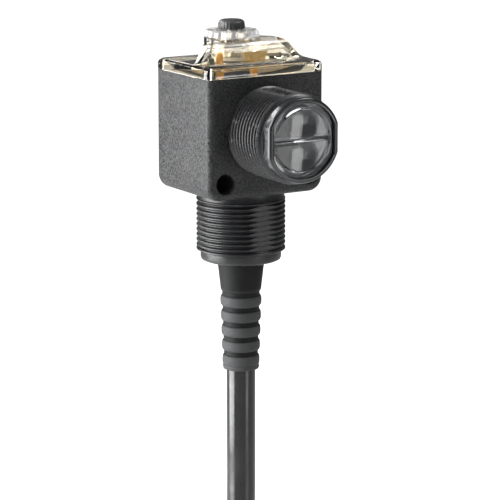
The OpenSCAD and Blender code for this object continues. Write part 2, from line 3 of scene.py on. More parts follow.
import bmesh
import bpy
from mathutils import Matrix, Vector


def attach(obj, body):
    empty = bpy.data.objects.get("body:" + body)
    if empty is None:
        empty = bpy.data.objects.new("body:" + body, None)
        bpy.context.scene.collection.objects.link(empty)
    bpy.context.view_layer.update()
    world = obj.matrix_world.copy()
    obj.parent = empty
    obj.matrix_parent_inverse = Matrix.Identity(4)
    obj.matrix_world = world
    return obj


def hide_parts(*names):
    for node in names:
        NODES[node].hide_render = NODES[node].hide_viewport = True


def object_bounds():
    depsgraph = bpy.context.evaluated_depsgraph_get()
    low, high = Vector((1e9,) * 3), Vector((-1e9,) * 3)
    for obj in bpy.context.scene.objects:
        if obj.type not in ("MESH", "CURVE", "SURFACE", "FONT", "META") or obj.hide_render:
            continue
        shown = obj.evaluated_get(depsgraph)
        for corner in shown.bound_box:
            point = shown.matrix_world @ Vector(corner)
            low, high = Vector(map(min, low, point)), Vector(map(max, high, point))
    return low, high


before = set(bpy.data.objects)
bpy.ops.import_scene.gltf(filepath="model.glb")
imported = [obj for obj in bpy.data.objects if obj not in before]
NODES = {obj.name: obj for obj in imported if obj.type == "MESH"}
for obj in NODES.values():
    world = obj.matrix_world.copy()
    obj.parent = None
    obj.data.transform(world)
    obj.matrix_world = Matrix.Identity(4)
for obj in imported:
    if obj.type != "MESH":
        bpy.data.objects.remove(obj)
cad_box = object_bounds()
MM = 0.001

# Main sizes of the sensor, in millimetres.
BODY_W, BODY_FRONT, BODY_BACK, BODY_H = 44.5, 16.8, 18.2, 40.3
BOTTOM_R, EDGE_R, WALL = 4.8, 2.4, 2.2
HOLE_PITCH, HOLE_D, HOLE_Z = 31.8, 6.5, 5.7
THREAD_R, THREAD_DEPTH, PITCH, FLAT = 15.0, 0.95, 1.72, 14.1
LENS_Z, LENS_END, RING_FRONT = 22.0, 35.43, 39.43
LENS_BORE, BASE_BORE = 12.2, 11.95
CTRL_Y = 5.9
CABLE_R = 4.95
THREAD_SEGMENTS, THREAD_ROWS = 240, 242


def link(name, data):
    """A new object of the scene round a mesh, curve, light or camera."""
    made = bpy.data.objects.new(name, data)
    bpy.context.collection.objects.link(made)
    return made


# ---------------------------------------------------------------- camera
def make_camera():
    """Long lens, a little above the sensor and to its left."""
    azimuth, elevation = math.radians(-31.53), math.radians(12.05)
    across, up, distance = 3.07 * MM, -20.95 * MM, 866.5 * MM
    back = Vector((math.sin(azimuth) * math.cos(elevation),
                   -math.cos(azimuth) * math.cos(elevation), math.sin(elevation)))
    target = Vector((across * math.cos(azimuth), across * math.sin(azimuth), up))
    data = bpy.data.cameras.new("camera")
    data.lens, data.sensor_width = 185.0, 36.0
    data.clip_start, data.clip_end = 0.01, 50
    camera = link("camera", data)
    camera.location = target + back * distance
    camera.rotation_mode = "QUATERNION"
    camera.rotation_quaternion = (-back).to_track_quat("-Z", "Y")
    bpy.context.scene.camera = camera


make_camera()
bpy.context.scene.view_settings.view_transform = "Standard"


# ---------------------------------------------------------------- cord
COIL_Z, COIL_OUT, COIL_IN, COIL_SIDE = -228.0, 61.2, 51.1, 12.625
ROUTE = [
    (0, 0, -60.5), (0, 0, -76), (0, 0, -90), (0, 0, -104), (-0.6, -0.6, -116),
    (-3, -3.2, -128), (-7.5, -7.2, -139.5), (-13.8, -11, -150), (-21.3, -13.6, -160),
    (-29.5, -14.8, -170), (-38.2, -14.8, -180), (12.9 - COIL_OUT, -14.3, -191),
    (5.1 - COIL_OUT, -13.7, -203.5), (1.15 - COIL_OUT, -0.5 - COIL_SIDE, -216),
    (-COIL_OUT, -COIL_SIDE, COIL_Z),
]
TAIL = [
    (0.6 - COIL_IN, -12.9, -236), (2.4 - COIL_IN, -14, -243.9),
    (5.1 - COIL_IN, -16.3, -251.1), (8.3 - COIL_IN, -19.6, -258),
    (11.6 - COIL_IN, -23.5, -264.4),
]


def coil_turns(per_turn=24, turns=2.5, step_down=90.0):
    """Two layers: out along the coil's width, a step down, and back inside."""
    sweep = turns * 360
    count = int(turns * per_turn)
    points = []
    for k in range(1, count + 1):
        t = k / count
        phi = math.radians(180 + sweep * t)
        points.append((COIL_OUT * math.cos(phi), COIL_SIDE * (2 * t - 1),
                       COIL_Z + COIL_OUT * math.sin(phi)))
    for k in range(1, count + 1):
        gone = sweep * k / count
        phi = math.radians(180 + sweep + gone)
        s = min(1.0, gone / step_down)
        radius = COIL_OUT + (COIL_IN - COIL_OUT) * s * s * (3 - 2 * s)
        back = max(0.0, gone - step_down) / (sweep - step_down)
        points.append((radius * math.cos(phi),
                       COIL_SIDE * (1 - 2 * back) + 0.4 * math.sin(math.pi * s),
                       COIL_Z + radius * math.sin(phi)))
    return points


def make_cable():
    data = bpy.data.curves.new("cable_jacket", "CURVE")
    data.dimensions = "3D"
    points = ROUTE + coil_turns() + TAIL
    spline = data.splines.new("BEZIER")
    spline.bezier_points.add(len(points) - 1)
    for point, knot in zip(points, spline.bezier_points):
        knot.co = Vector(point) * MM
        knot.handle_left_type = knot.handle_right_type = "AUTO"
    data.resolution_u = 6
    data.bevel_depth = CABLE_R * MM
    data.bevel_resolution = 7
    data.use_fill_caps = True
    return link("cable_jacket", data)


cable = make_cable()


# ---------------------------------------------------------------- meshes
def from_bmesh(name, bm, smooth=35.0):
    mesh = bpy.data.meshes.new(name)
    bm.to_mesh(mesh)
    bm.free()
    soften(mesh, smooth)
    return link(name, mesh)


def soften(mesh, angle):
    for face in mesh.polygons:
        face.use_smooth = True
    mesh.set_sharp_from_angle(angle=math.radians(angle))


def face_outwards(piece, angle):
    """Turns every face outwards and smooths the piece below the angle."""
    bm = bmesh.new()
    bm.from_mesh(piece.data)
    bmesh.ops.recalc_face_normals(bm, faces=bm.faces)
    bm.to_mesh(piece.data)
    bm.free()
    soften(piece.data, angle)


def turned(profile, segments, at=(0, 0, 0), facing="up"):
    """A closed profile of (radius, height) points turned round its axis."""
    bm = bmesh.new()
    rings = []
    for radius, height in profile:
        if radius < 1e-6:
            rings.append([bm.verts.new(place(0, 0, height, at, facing))])
            continue
        rings.append([
            bm.verts.new(place(radius * math.cos(2 * math.pi * k / segments),
                               radius * math.sin(2 * math.pi * k / segments),
                               height, at, facing))
            for k in range(segments)])
    for a, b in zip(rings, rings[1:] + rings[:1]):
        for k in range(segments):
            j = (k + 1) % segments
            if len(a) == 1 and len(b) == 1:
                continue
            if len(a) == 1:
                bm.faces.new((a[0], b[k], b[j]))
            elif len(b) == 1:
                bm.faces.new((a[k], a[j], b[0]))
            else:
                bm.faces.new((a[k], a[j], b[j], b[k]))
    bmesh.ops.recalc_face_normals(bm, faces=bm.faces)
    return bm


def place(x, y, z, at, facing):
    """Turns a point drawn along +Z to its place: up, down or out of the lens."""
    if facing == "lens":
        x, y, z = x, -z, y
    elif facing == "down":
        x, y, z = x, -y, -z
    return Vector((x + at[0], y + at[1], z + at[2])) * MM


def prism(outline, depth0, depth1, axis):
    """An outline pushed along an axis: x, y or z."""
    bm = bmesh.new()

    def point(p, d):
        spot = {"x": (d, p[0], p[1]), "y": (p[0], d, p[1]), "z": (p[0], p[1], d)}[axis]
        return Vector(spot) * MM
    low = [bm.verts.new(point(p, depth0)) for p in outline]
    high = [bm.verts.new(point(p, depth1)) for p in outline]
    bm.faces.new(low)
    bm.faces.new(high[::-1])
    for k in range(len(outline)):
        j = (k + 1) % len(outline)
        bm.faces.new((low[k], low[j], high[j], high[k]))
    bmesh.ops.recalc_face_normals(bm, faces=bm.faces)
    return bm


def rounded(x0, x1, y0, y1, radii, steps=8):
    """A rectangle's outline with its own radius at each corner."""
    corners = [(x1, y1, 1, 1), (x0, y1, -1, 1), (x0, y0, -1, -1), (x1, y0, 1, -1)]
    outline = []
    for n, (x, y, sx, sy) in enumerate(corners):
        r = radii[n]
        if r <= 0:
            outline.append((x, y))
            continue
        for k in range(steps + 1):
            turn = math.radians(90 * n + 90 * k / steps)
            outline.append((x - sx * r + r * math.cos(turn), y - sy * r + r * math.sin(turn)))
    return outline


def bevel_where(bm, test, width, steps):
    edges = [e for e in bm.edges if test(e)]
    bmesh.ops.bevel(bm, geom=edges, offset=width * MM, segments=steps, profile=0.5,
                    affect="EDGES", clamp_overlap=True)


def cut(piece, cutters):
    """Cuts with exact booleans, and leaves a plain mesh."""
    for cutter in cutters:
        step = piece.modifiers.new("cut", "BOOLEAN")
        step.operation, step.solver, step.object = "DIFFERENCE", "EXACT", cutter
    freeze(piece)
    for cutter in cutters:
        bpy.data.objects.remove(cutter)


def freeze(piece):
    """Replaces a piece's mesh by what its modifiers make of it."""
    graph = bpy.context.evaluated_depsgraph_get()
    mesh = bpy.data.meshes.new_from_object(piece.evaluated_get(graph))
    piece.modifiers.clear()
    piece.data = mesh
    return piece


def join(name, pieces):
    """One mesh from several closed ones."""
    bm = bmesh.new()
    for piece in pieces:
        bm.from_mesh(piece.data)
        bpy.data.objects.remove(piece)
    return from_bmesh(name, bm)


# ---------------------------------------------------------------- geometry nodes
class Tree:
    """A small helper that wires a node tree, geometry or shader."""

    def __init__(self, name, kind, inputs, outputs):
        self.group = bpy.data.node_groups.new(name, kind)
        for label, socket, default in inputs:
            item = self.group.interface.new_socket(label, in_out="INPUT", socket_type=socket)
            if default is not None:
                item.default_value = default
        for label, socket in outputs:
            self.group.interface.new_socket(label, in_out="OUTPUT", socket_type=socket)
        self.entry = self.group.nodes.new("NodeGroupInput")
        self.exit = self.group.nodes.new("NodeGroupOutput")

    def node(self, kind, values=None, **settings):
        made = self.group.nodes.new(kind)
        for key, value in settings.items():
            setattr(made, key, value)
        for key, value in (values or {}).items():
            self.feed(made.inputs[key], value)
        return made

    def feed(self, socket, value):
        if isinstance(value, bpy.types.NodeSocket):
            self.group.links.new(value, socket)
        else:
            socket.default_value = value

    def math(self, operation, a, b=0.0, clamp=False):
        made = self.node("ShaderNodeMath", {0: a, 1: b}, operation=operation,
                         use_clamp=clamp)
        return made.outputs[0]

    def give(self, label, value):
        self.feed(self.exit.inputs[label], value)


def run_tree(piece, tree, values):
    """Runs a geometry tree on a piece and bakes the result into its mesh."""
    step = piece.modifiers.new("shape", "NODES")
    step.node_group = tree
    for item in tree.interface.items_tree:
        if item.in_out == "INPUT" and item.name in values:
            step[item.identifier] = values[item.name]
    return freeze(piece)


GEO, REAL, WHOLE, STUFF = ("NodeSocketGeometry", "NodeSocketFloat", "NodeSocketInt",
                           "NodeSocketMaterial")


def finish_tree(tree, shape):
    """Every tree ends in real geometry with its material."""
    real = tree.node("GeometryNodeRealizeInstances", {"Geometry": shape})
    skin = tree.node("GeometryNodeSetMaterial",
                     {"Geometry": real.outputs[0], "Material": tree.entry.outputs["Finish"]})
    tree.give("Geometry", skin.outputs[0])


def thread_tree():
    """Cuts a screw thread into a turned barrel that stands on its own axis.

    The rows of the wall climb with the thread. The seam where they step back one
    pitch lies in the middle of a flat, so it is out of the thread.
    """
    t = Tree("cut thread", "GeometryNodeTree", [
        ("Geometry", GEO, None), ("Radius", REAL, 0.015), ("Depth", REAL, 0.001),
        ("Pitch", REAL, 0.0017), ("From", REAL, 0.0), ("To", REAL, 0.01),
        ("Flat", REAL, 0.0141), ("Finish", STUFF, None)], [("Geometry", GEO)])
    e = t.entry.outputs
    xyz = t.node("ShaderNodeSeparateXYZ", {0: t.node("GeometryNodeInputPosition").outputs[0]})
    x, y, z = xyz.outputs
    radius = t.math("SQRT", t.math("ADD", t.math("MULTIPLY", x, x), t.math("MULTIPLY", y, y)))
    around = t.math("ADD", t.math("DIVIDE", t.math("ARCTAN2", y, x), 2 * math.pi), 0.2505)
    turn = t.math("SUBTRACT", t.math("FRACT", around), 0.5)
    phase = t.math("FRACT", t.math("DIVIDE", z, e["Pitch"]))
    wave = t.math("ABSOLUTE", t.math("SUBTRACT", t.math("MULTIPLY", phase, 2.0), 1.0))
    flank = t.node("ShaderNodeMapRange", {"Value": wave, "From Min": 0.12, "From Max": 0.92},
                   interpolation_type="SMOOTHSTEP")
    start = t.node("ShaderNodeMapRange", {
        "Value": t.math("SUBTRACT", z, e["From"]), "From Min": 0.0,
        "From Max": t.math("MULTIPLY", e["Pitch"], 0.5)}, interpolation_type="SMOOTHSTEP")
    stop = t.node("ShaderNodeMapRange", {
        "Value": t.math("SUBTRACT", e["To"], z), "From Min": 0.0,
        "From Max": t.math("MULTIPLY", e["Pitch"], 0.5)}, interpolation_type="SMOOTHSTEP")
    ends = t.math("MULTIPLY", start.outputs[0], stop.outputs[0])
    root = t.math("MULTIPLY", t.math("MULTIPLY", flank.outputs[0], ends), e["Depth"])
    cut_r = t.math("SUBTRACT", e["Radius"], root)
    slope = t.math("MAXIMUM", t.math("ABSOLUTE", t.math("DIVIDE", y, radius)), 0.05)
    flat_r = t.math("DIVIDE", e["Flat"], slope)
    keep = t.math("ADD", flat_r, t.math("MULTIPLY", t.math("SUBTRACT", 1.0, ends), 0.01))
    new_r = t.math("MINIMUM", cut_r, keep)
    scale = t.math("DIVIDE", new_r, radius)
    ramps = [t.node("ShaderNodeMapRange", {"Value": reach, "From Min": 0.0,
                                           "From Max": e["Pitch"]}).outputs[0]
             for reach in (t.math("SUBTRACT", z, e["From"]), t.math("SUBTRACT", e["To"], z))]
    climb = t.math("MULTIPLY", t.math("MULTIPLY", turn, e["Pitch"]),
                   t.math("MULTIPLY", *ramps))
    moved = t.node("ShaderNodeCombineXYZ", {
        0: t.math("MULTIPLY", x, scale), 1: t.math("MULTIPLY", y, scale),
        2: t.math("ADD", z, climb)})
    on_wall = t.math("GREATER_THAN", radius, t.math("SUBTRACT", e["Radius"], 2e-5))
    inside = t.math("MULTIPLY", t.math("GREATER_THAN", z, e["From"]),
                    t.math("LESS_THAN", z, e["To"]))
    shape = t.node("GeometryNodeSetPosition", {
        "Geometry": e["Geometry"], "Selection": t.math("MULTIPLY", on_wall, inside),
        "Position": moved.outputs[0]})
    finish_tree(t, shape.outputs[0])
    return t.group


def flute_tree():
    """Presses evenly spaced flutes into the outer wall of a turned piece."""
    t = Tree("press flutes", "GeometryNodeTree", [
        ("Geometry", GEO, None), ("Count", WHOLE, 20), ("Depth", REAL, 0.0005),
        ("Sharpness", REAL, 4.0), ("Wall", REAL, 0.008), ("Finish", STUFF, None)],
        [("Geometry", GEO)])
    e = t.entry.outputs
    xyz = t.node("ShaderNodeSeparateXYZ", {0: t.node("GeometryNodeInputPosition").outputs[0]})
    x, y, z = xyz.outputs
    radius = t.math("SQRT", t.math("ADD", t.math("MULTIPLY", x, x), t.math("MULTIPLY", y, y)))
    turn = t.math("ARCTAN2", y, x)
    wave = t.math("COSINE", t.math("MULTIPLY", turn, e["Count"]))
    groove = t.math("POWER", t.math("MULTIPLY", t.math("ADD", wave, 1.0), 0.5), e["Sharpness"])
    fade = t.node("ShaderNodeMapRange", {
        "Value": t.math("SUBTRACT", radius, e["Wall"]), "From Min": 0.0, "From Max": 0.0004})
    less = t.math("MULTIPLY", t.math("MULTIPLY", groove, e["Depth"]), fade.outputs[0])
    scale = t.math("DIVIDE", t.math("SUBTRACT", radius, less), t.math("MAXIMUM", radius, 1e-5))
    moved = t.node("ShaderNodeCombineXYZ", {
        0: t.math("MULTIPLY", x, scale), 1: t.math("MULTIPLY", y, scale), 2: z})
    shape = t.node("GeometryNodeSetPosition", {
        "Geometry": e["Geometry"], "Selection": t.math("GREATER_THAN", radius, e["Wall"]),
        "Position": moved.outputs[0]})
    finish_tree(t, shape.outputs[0])
    return t.group


def rib_tree():
    """Repeats one rib down the strain relief, each a little smaller."""
    t = Tree("repeat ribs", "GeometryNodeTree", [
        ("Geometry", GEO, None), ("Count", WHOLE, 5), ("Step", REAL, 0.005),
        ("Taper", REAL, 0.03), ("Finish", STUFF, None)], [("Geometry", GEO)])
    e = t.entry.outputs
    down = t.node("ShaderNodeCombineXYZ", {2: t.math("MULTIPLY", e["Step"], -1.0)})
    line = t.node("GeometryNodeMeshLine", {"Count": e["Count"], "Offset": down.outputs[0]})
    index = t.node("GeometryNodeInputIndex").outputs[0]
    width = t.math("SUBTRACT", 1.0, t.math("MULTIPLY", index, e["Taper"]))
    size = t.node("ShaderNodeCombineXYZ", {0: width, 1: width, 2: 1.0})
    ribs = t.node("GeometryNodeInstanceOnPoints", {
        "Points": line.outputs[0], "Instance": e["Geometry"], "Scale": size.outputs[0]})
    finish_tree(t, ribs.outputs[0])
    return t.group


def strand_tree():
    """Draws a round strand along a line of points."""
    t = Tree("draw strand", "GeometryNodeTree", [
        ("Geometry", GEO, None), ("Radius", REAL, 0.001), ("Sides", WHOLE, 16),
        ("Finish", STUFF, None)], [("Geometry", GEO)])
    e = t.entry.outputs
    line = t.node("GeometryNodeMeshToCurve", {"Mesh": e["Geometry"]})
    ring = t.node("GeometryNodeCurvePrimitiveCircle", {"Resolution": e["Sides"],
                                                       "Radius": e["Radius"]})
    tube = t.node("GeometryNodeCurveToMesh", {
        "Curve": line.outputs[0], "Profile Curve": ring.outputs[0], "Fill Caps": True})
    finish_tree(t, tube.outputs[0])
    return t.group


# ---------------------------------------------------------------- shader groups

def grain_group():
    """Fine moulded grain: a height for the bump and a soft change of tone."""
    t = Tree("moulded grain", "ShaderNodeTree", [
        ("Grain", REAL, 2200.0), ("Coarse", REAL, 300.0), ("Cloud", REAL, 0.4)],
        [("Height", REAL), ("Tone", REAL)])
    e = t.entry.outputs
    spot = t.node("ShaderNodeTexCoord").outputs["Object"]
    fine = t.node("ShaderNodeTexNoise", {"Vector": spot, "Scale": e["Grain"], "Detail": 2.0,
                                         "Roughness": 0.6})
    pits = t.node("ShaderNodeTexVoronoi", {"Vector": spot, "Scale": e["Grain"]})
    soft = t.node("ShaderNodeTexNoise", {"Vector": spot, "Scale": e["Coarse"], "Detail": 3.0})
    height = t.math("ADD", fine.outputs[0], t.math("MULTIPLY", pits.outputs[0], 0.6))
    tone = t.math("ADD", t.math("MULTIPLY", fine.outputs[0], t.math("SUBTRACT", 1.0, e["Cloud"])),
                  t.math("MULTIPLY", soft.outputs[0], e["Cloud"]))
    t.give("Height", height)
    t.give("Tone", tone)
    return t.group


def wear_and_highlight_group():
    """Edges that handling has polished, broken up by noise; with Even at one the mask is unbroken
    and paints a highlight along crests.
    """
    t = Tree("handled edges and painted crest light", "ShaderNodeTree", [
        ("Low", REAL, 0.52), ("High", REAL, 0.6), ("Break", REAL, 500.0),
        ("Even", REAL, 0.0)],
        [("Mask", REAL)])
    e = t.entry.outputs
    edge = t.node("ShaderNodeNewGeometry").outputs["Pointiness"]
    mask = t.node("ShaderNodeMapRange", {"Value": edge, "From Min": e["Low"],
                                         "From Max": e["High"]})
    spot = t.node("ShaderNodeTexCoord").outputs["Object"]
    noise = t.node("ShaderNodeTexNoise", {"Vector": spot, "Scale": e["Break"], "Detail": 2.0})
    broken = t.math("MAXIMUM", noise.outputs[0], e["Even"])
    t.give("Mask", t.math("MULTIPLY", mask.outputs[0], broken, clamp=True))
    return t.group


def dust_group():
    """Thin settled dust and finger haze, mostly on faces that look up."""
    t = Tree("settled dust", "ShaderNodeTree", [("Amount", REAL, 0.3), ("Size", REAL, 120.0)],
             [("Mask", REAL)])
    e = t.entry.outputs
    normal = t.node("ShaderNodeNewGeometry").outputs["Normal"]
    up = t.node("ShaderNodeSeparateXYZ", {0: normal}).outputs[2]
    lift = t.math("MULTIPLY", t.math("ADD", up, 0.6), 0.6, clamp=True)
    spot = t.node("ShaderNodeTexCoord").outputs["Object"]
    noise = t.node("ShaderNodeTexNoise", {"Vector": spot, "Scale": e["Size"], "Detail": 5.0})
    spread = t.node("ShaderNodeMapRange", {"Value": noise.outputs[0], "From Min": 0.4,
                                           "From Max": 0.75})
    t.give("Mask", t.math("MULTIPLY", t.math("MULTIPLY", lift, spread.outputs[0]), e["Amount"],
                          clamp=True))
    return t.group


GRAIN, WEAR_AND_HIGHLIGHT, DUST = grain_group(), wear_and_highlight_group(), dust_group()


def shader(name):
    material = bpy.data.materials.new(name)
    material.use_nodes = True
    tree = material.node_tree
    return material, tree, tree.nodes["Principled BSDF"]


def use_group(tree, group, values):
    made = tree.nodes.new("ShaderNodeGroup")
    made.node_tree = group
    for key, value in values.items():
        made.inputs[key].default_value = value
    return made


def ramp(tree, factor, low, high, a=0.0, b=1.0):
    """Goes from low to high while the factor goes from a to b."""
    made = tree.nodes.new("ShaderNodeMapRange")
    tree.links.new(factor, made.inputs["Value"])
    for key, value in (("From Min", a), ("From Max", b), ("To Min", low), ("To Max", high)):
        made.inputs[key].default_value = value
    return made.outputs[0]


def blend(tree, factor, a, b):
    made = tree.nodes.new("ShaderNodeMix")
    made.data_type = "RGBA"
    tree.links.new(factor, made.inputs[0])
    for socket, value in ((made.inputs[6], a), (made.inputs[7], b)):
        if isinstance(value, bpy.types.NodeSocket):
            tree.links.new(value, socket)
        else:
            socket.default_value = (*value, 1)
    return made.outputs[2]


def plastic(name, color, roughness=0.45, grain=2200.0, bump=0.25, tone=0.25, wear_and_highlight=0.0,
            dust=0.0, specular=0.5, worn_and_highlight_colour=None, coat=0.0, metal=0.0, height=0.00006,
            spread=0.15, mottle=0.0, cloud=0.4, even=0.0):
    """Moulded plastic, rubber or plated metal with grain, tone and dust, and an edge mask that
    shows edges rubbed by handling on some pieces and paints a highlight along crests on others.
    """
    material, tree, bsdf = shader(name)
    g = use_group(tree, GRAIN, {"Grain": grain, "Coarse": grain / 8, "Cloud": cloud})
    dark = tuple(c * (1 - tone) for c in color)
    light = tuple(min(1.0, c * (1 + tone)) for c in color)
    base = blend(tree, ramp(tree, g.outputs["Tone"], 0, 1, 0.5 - spread, 0.5 + spread), dark,
                 light)
    # Edge mask by pointiness: edges rubbed by handling on the housing, lens ring and knob, and a
    # painted highlight along the thread crests and the boot's rib edges.
    if wear_and_highlight:
        w = use_group(tree, WEAR_AND_HIGHLIGHT, {"Even": even})
        mask = ramp(tree, w.outputs["Mask"], 0, wear_and_highlight)
        base = blend(tree, mask, base, worn_and_highlight_colour or tuple(min(1.0, c * 2.6 + 0.02) for c in color))
    if dust:
        d = use_group(tree, DUST, {"Amount": dust})
        base = blend(tree, d.outputs["Mask"], base, (0.42, 0.41, 0.39))
    tree.links.new(base, bsdf.inputs["Base Color"])
    rough = ramp(tree, g.outputs["Tone"], max(0.02, roughness - 0.07), roughness + 0.07,
                 0.35, 0.65)
    tree.links.new(rough, bsdf.inputs["Roughness"])
    bsdf.inputs["Specular IOR Level"].default_value = specular
    if mottle:
        tree.links.new(ramp(tree, g.outputs["Tone"], specular * (1 - mottle),
                            specular * (1 + mottle), 0.5 - spread, 0.5 + spread),
                       bsdf.inputs["Specular IOR Level"])
    bsdf.inputs["Metallic"].default_value = metal
    if coat:
        bsdf.inputs["Coat Weight"].default_value = coat
        bsdf.inputs["Coat Roughness"].default_value = 0.12
    if bump:
        lump = tree.nodes.new("ShaderNodeBump")
        lump.inputs["Strength"].default_value = bump
        lump.inputs["Distance"].default_value = height
        tree.links.new(g.outputs["Height"], lump.inputs["Height"])
        tree.links.new(lump.outputs[0], bsdf.inputs["Normal"])
    return material


def clear(name, color, ior=1.55, roughness=0.02, haze=0.0, bump=0.04, grain=160.0,
          through=1.0):
    """Clear moulded plastic: slight flow waves and a faint haze of handling."""
    material, tree, bsdf = shader(name)
    g = use_group(tree, GRAIN, {"Grain": grain, "Coarse": grain / 4})
    tint = blend(tree, ramp(tree, g.outputs["Tone"], 0, 1, 0.35, 0.65),
                 tuple(c * 0.97 for c in color), color)
    tree.links.new(tint, bsdf.inputs["Base Color"])
    d = use_group(tree, DUST, {"Amount": 1.0})
    tree.links.new(ramp(tree, d.outputs["Mask"], roughness, roughness + haze),
                   bsdf.inputs["Roughness"])
    bsdf.inputs["Transmission Weight"].default_value = through
    bsdf.inputs["IOR"].default_value = ior
    lump = tree.nodes.new("ShaderNodeBump")
    lump.inputs["Strength"].default_value = bump
    lump.inputs["Distance"].default_value = 0.0004
    tree.links.new(g.outputs["Height"], lump.inputs["Height"])
    tree.links.new(lump.outputs[0], bsdf.inputs["Normal"])
    return material


def board_finish(name):
    """Tan board: bare laminate over a faint pattern of tracks and pads."""
    material, tree, bsdf = shader(name)
    spot = tree.nodes.new("ShaderNodeTexCoord").outputs["Object"]
    tracks = tree.nodes.new("ShaderNodeTexBrick")
    tree.links.new(spot, tracks.inputs["Vector"])
    for key, value in (("Scale", 260.0), ("Mortar Size", 0.12), ("Brick Width", 1.1),
                       ("Row Height", 0.35)):
        tracks.inputs[key].default_value = value
    tracks.inputs["Color1"].default_value = (0.5, 0.37, 0.18, 1)
    tracks.inputs["Color2"].default_value = (0.56, 0.42, 0.21, 1)
    tracks.inputs["Mortar"].default_value = (0.38, 0.27, 0.12, 1)
    dots = tree.nodes.new("ShaderNodeTexVoronoi")
    tree.links.new(spot, dots.inputs["Vector"])
    dots.inputs["Scale"].default_value = 330.0
    pads = ramp(tree, dots.outputs["Distance"], 1.0, 0.0, 0.16, 0.2)
    tree.links.new(blend(tree, pads, tracks.outputs["Color"], (0.62, 0.6, 0.55)),
                   bsdf.inputs["Base Color"])
    g = use_group(tree, GRAIN, {"Grain": 1500.0})
    tree.links.new(ramp(tree, g.outputs["Tone"], 0.25, 0.4), bsdf.inputs["Roughness"])
    return material


def boot_finish(name):
    """Flexible dark vinyl: plain at the waist, with painted light added to the rib crowns and
    painted shade left in the grooves between them.
    """
    # The edge mask here also lightens the rib edges: painted light.
    material = plastic(name, (0.006, 0.0062, 0.0067), 0.6, grain=1500, bump=0.25, tone=0.2,
                       wear_and_highlight=0.15, dust=0.03, specular=0.16)
    tree = material.node_tree
    bsdf = tree.nodes["Principled BSDF"]
    smooth = bsdf.inputs["Base Color"].links[0].from_socket
    spot = tree.nodes.new("ShaderNodeTexCoord").outputs["Object"]
    depth = tree.nodes.new("ShaderNodeSeparateXYZ")
    tree.links.new(spot, depth.inputs[0])
    ribs = ramp(tree, depth.outputs[2], 0.0, 1.0, -0.0335, -0.0365)
    across = tree.nodes.new("ShaderNodeVectorMath")
    across.operation = "MULTIPLY"
    tree.links.new(spot, across.inputs[0])
    across.inputs[1].default_value = (1, 1, 0)
    radius = tree.nodes.new("ShaderNodeVectorMath")
    radius.operation = "LENGTH"
    tree.links.new(across.outputs[0], radius.inputs[0])
    crown = ramp(tree, depth.outputs[2], 0.00633, 0.00698, -0.0586, -0.038)
    sunk = tree.nodes.new("ShaderNodeMath")
    sunk.operation = "SUBTRACT"
    tree.links.new(crown, sunk.inputs[0])
    tree.links.new(radius.outputs["Value"], sunk.inputs[1])
    # Painted light and shade: the crowns get a lighter colour added, while grooves sunk below the
    # crown stay dark as painted shade.
    crown_not_groove = ramp(tree, sunk.outputs[0], 1.0, 0.0, 0.0002, 0.00055)
    mask = tree.nodes.new("ShaderNodeMath")
    mask.operation = "MULTIPLY"
    tree.links.new(ribs, mask.inputs[0])
    tree.links.new(crown_not_groove, mask.inputs[1])
    painted_rib_light = blend(tree, mask.outputs[0], (0, 0, 0), (0.043, 0.0435, 0.0443))
    total = tree.nodes.new("ShaderNodeMix")
    total.data_type, total.blend_type = "RGBA", "ADD"
    total.inputs[0].default_value = 1.0
    tree.links.new(smooth, total.inputs[6])
    tree.links.new(painted_rib_light, total.inputs[7])
    tree.links.new(total.outputs[2], bsdf.inputs["Base Color"])
    return material


